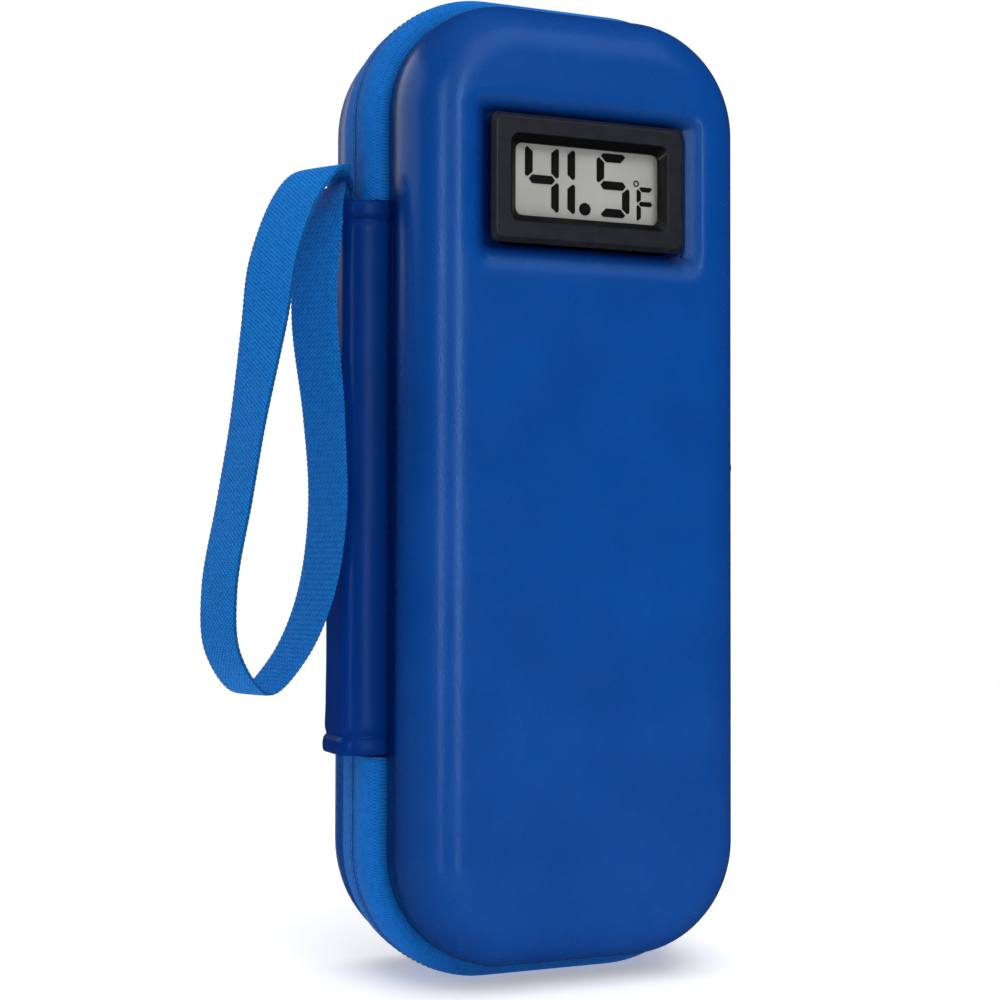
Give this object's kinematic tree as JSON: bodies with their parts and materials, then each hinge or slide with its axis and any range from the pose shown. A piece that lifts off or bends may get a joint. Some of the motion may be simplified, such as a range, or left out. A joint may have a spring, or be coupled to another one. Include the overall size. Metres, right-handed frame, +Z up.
{
  "type": "insulin cooling case",
  "caption": "Zip-up moulded travel case that keeps insulin pens cold, with a digital thermometer set in its lid, a spine hinge, zipper sliders, gel packs, pen loops and a wrist strap",
  "frame": {"origin": "Middle of the flat foot strip of the base half's zipper tape, where the case stands on a table.", "axes": "+X to the case's right as its display is read, +Y from the display towards the back, +Z up along the case's length."},
  "size_m": [0.1353, 0.054, 0.224],
  "materials": {
    "shell_skin": "fine-grained blue synthetic leather over moulded foam",
    "spine_skin": "smooth dark blue synthetic leather",
    "zipper_tape": "woven blue zipper tape",
    "zipper_coil": "blue nylon coil",
    "slider_paint": "blue painted die-cast zinc",
    "webbing": "bright blue nylon webbing",
    "foil_liner": "foil-faced foam, light grey",
    "bezel": "fine matt black ABS",
    "window": "clear display window",
    "lcd": "grey liquid crystal display",
    "board": "green circuit board",
    "steel": "plain steel",
    "black_rubber": "black rubber",
    "gel_film": "pale blue film over gel",
    "net": "black cloth",
    "elastic": "black woven elastic"
  },
  "bodies": {
    "base": {"rear_shell": "shell_skin", "rear_liner": "foil_liner", "rear_tape": "zipper_tape", "rear_coil": "zipper_coil", "spine_rear": "spine_skin", "strap_tails": "webbing", "rear_gel_pack": "gel_film", "pen_board": "net", "lower_elastic": "elastic", "upper_elastic": "elastic"},
    "lid": {"front_shell": "shell_skin", "front_liner": "foil_liner", "front_tape": "zipper_tape", "front_coil": "zipper_coil", "spine_front": "spine_skin", "display_housing": "bezel", "display_window": "window", "lcd_panel": "lcd", "contact_strip": "black_rubber", "circuit_board": "board", "button_cell_left": "steel", "button_cell_right": "steel", "cell_contact": "steel", "housing_cover": "bezel", "probe_gland": "black_rubber", "front_gel_pack": "gel_film", "mesh_pocket": "net", "pocket_binding": "elastic"},
    "strap": {"wrist_strap": "webbing"},
    "upper_runner": {"upper_slider": "slider_paint"},
    "lower_runner": {"lower_slider": "slider_paint"},
    "upper_tab": {"upper_pull": "slider_paint"},
    "lower_tab": {"lower_pull": "slider_paint"},
    "door": {"battery_door": "bezel"},
    "button": {"unit_button": "black_rubber"}
  },
  "joints": [
    {"name": "lid_open", "type": "hinge", "parent": "base", "child": "lid", "pos_m": [-0.0515, -0.0022, 0.11325], "axis": [0, 0, -1], "range_deg": [0, 170], "deforming": ["wrist_strap", "strap_tails"]},
    {"name": "strap_swing", "type": "hinge", "parent": "base", "child": "strap", "pos_m": [-0.05088, -0.00472, 0.1819], "axis": [-0.4226, 0.9063, 0], "range_deg": [0, 100]},
    {"name": "upper_zip", "type": "slide", "parent": "base", "child": "upper_runner", "axis": [0, 0, 1], "range_m": [0, 0.06]},
    {"name": "lower_zip", "type": "slide", "parent": "base", "child": "lower_runner", "axis": [0, 0, -1], "range_m": [0, 0.06]},
    {"name": "upper_pull_swing", "type": "hinge", "parent": "upper_runner", "child": "upper_tab", "pos_m": [0.048, -0.0022, 0.12875], "axis": [0, -1, 0], "range_deg": [0, 158]},
    {"name": "lower_pull_swing", "type": "hinge", "parent": "lower_runner", "child": "lower_tab", "pos_m": [0.048, -0.0022, 0.11125], "axis": [0, -1, 0], "range_deg": [0, 90]},
    {"name": "door_lift", "type": "slide", "parent": "lid", "child": "door", "axis": [0, 1, 0], "range_m": [0, 0.006]},
    {"name": "unit_press", "type": "slide", "parent": "lid", "child": "button", "axis": [0, -1, 0], "range_m": [0, 0.0005], "stiffness_N_per_m": 400}
  ]
}
